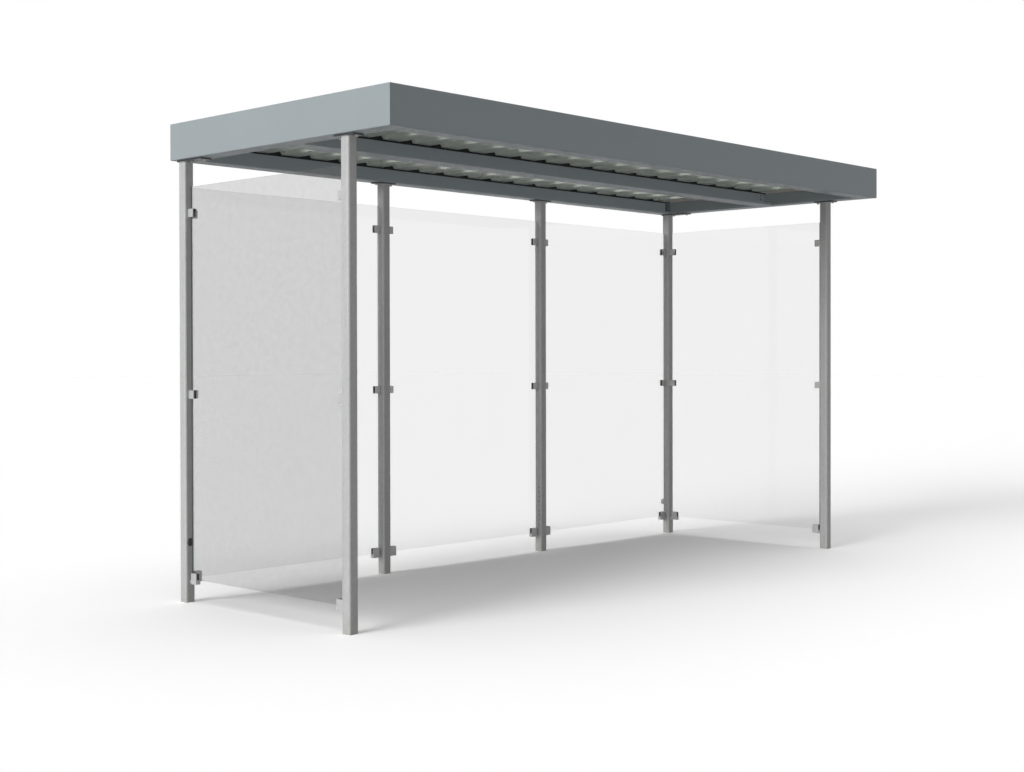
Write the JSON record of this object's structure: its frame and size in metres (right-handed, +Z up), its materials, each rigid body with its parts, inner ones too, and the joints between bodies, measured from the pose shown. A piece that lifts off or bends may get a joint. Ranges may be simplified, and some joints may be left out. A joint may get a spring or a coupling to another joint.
{
  "type": "open waiting shelter",
  "caption": "Flat-roofed open shelter: square tube posts, a deep folded fascia over ribbed sheet, and clamped glass at the back and both ends.",
  "frame": {"origin": "on the ground, under the middle of the roof's outline", "axes": "+X along the open front to the right as seen from the front, +Y towards the back wall, +Z up"},
  "size_m": [4.44, 1.8, 2.62],
  "materials": {
    "fascia_paint": "satin powder coat",
    "roof_coating": "matte coil coating",
    "galvanised_tube": "dull galvanised",
    "dark_plate": "matte",
    "clamp_metal": "satin",
    "black_rubber": "matte",
    "clear_glass": "clear"
  },
  "bodies": {
    "root": {"post_rear_left": "galvanised_tube", "head_plate_rear_left": "dark_plate", "post_rear_mid_left": "galvanised_tube", "head_plate_rear_mid_left": "dark_plate", "post_rear_mid_right": "galvanised_tube", "head_plate_rear_mid_right": "dark_plate", "post_rear_right": "galvanised_tube", "head_plate_rear_right": "dark_plate", "post_front_left": "galvanised_tube", "head_plate_front_left": "dark_plate", "post_front_right": "galvanised_tube", "head_plate_front_right": "dark_plate", "fascia_front": "fascia_paint", "fascia_rear": "fascia_paint", "fascia_left": "fascia_paint", "fascia_right": "fascia_paint", "centre_beam": "fascia_paint", "beam_cleats": "fascia_paint", "sheet_ledges": "fascia_paint", "roof_sheet": "roof_coating", "roof_outlet": "galvanised_tube", "drain_spout": "galvanised_tube", "glass_left": "clear_glass", "clamps_left_a": "clamp_metal", "clamps_left_b": "clamp_metal", "gaskets_left": "black_rubber", "glass_right": "clear_glass", "clamps_right_a": "clamp_metal", "clamps_right_b": "clamp_metal", "gaskets_right": "black_rubber", "glass_rear_left": "clear_glass", "clamps_rear_left_a": "clamp_metal", "clamps_rear_left_b": "clamp_metal", "gaskets_rear_left": "black_rubber", "glass_rear_mid": "clear_glass", "clamps_rear_mid_a": "clamp_metal", "clamps_rear_mid_b": "clamp_metal", "gaskets_rear_mid": "black_rubber", "glass_rear_right": "clear_glass", "clamps_rear_right_a": "clamp_metal", "clamps_rear_right_b": "clamp_metal", "gaskets_rear_right": "black_rubber"}
  },
  "joints": []
}
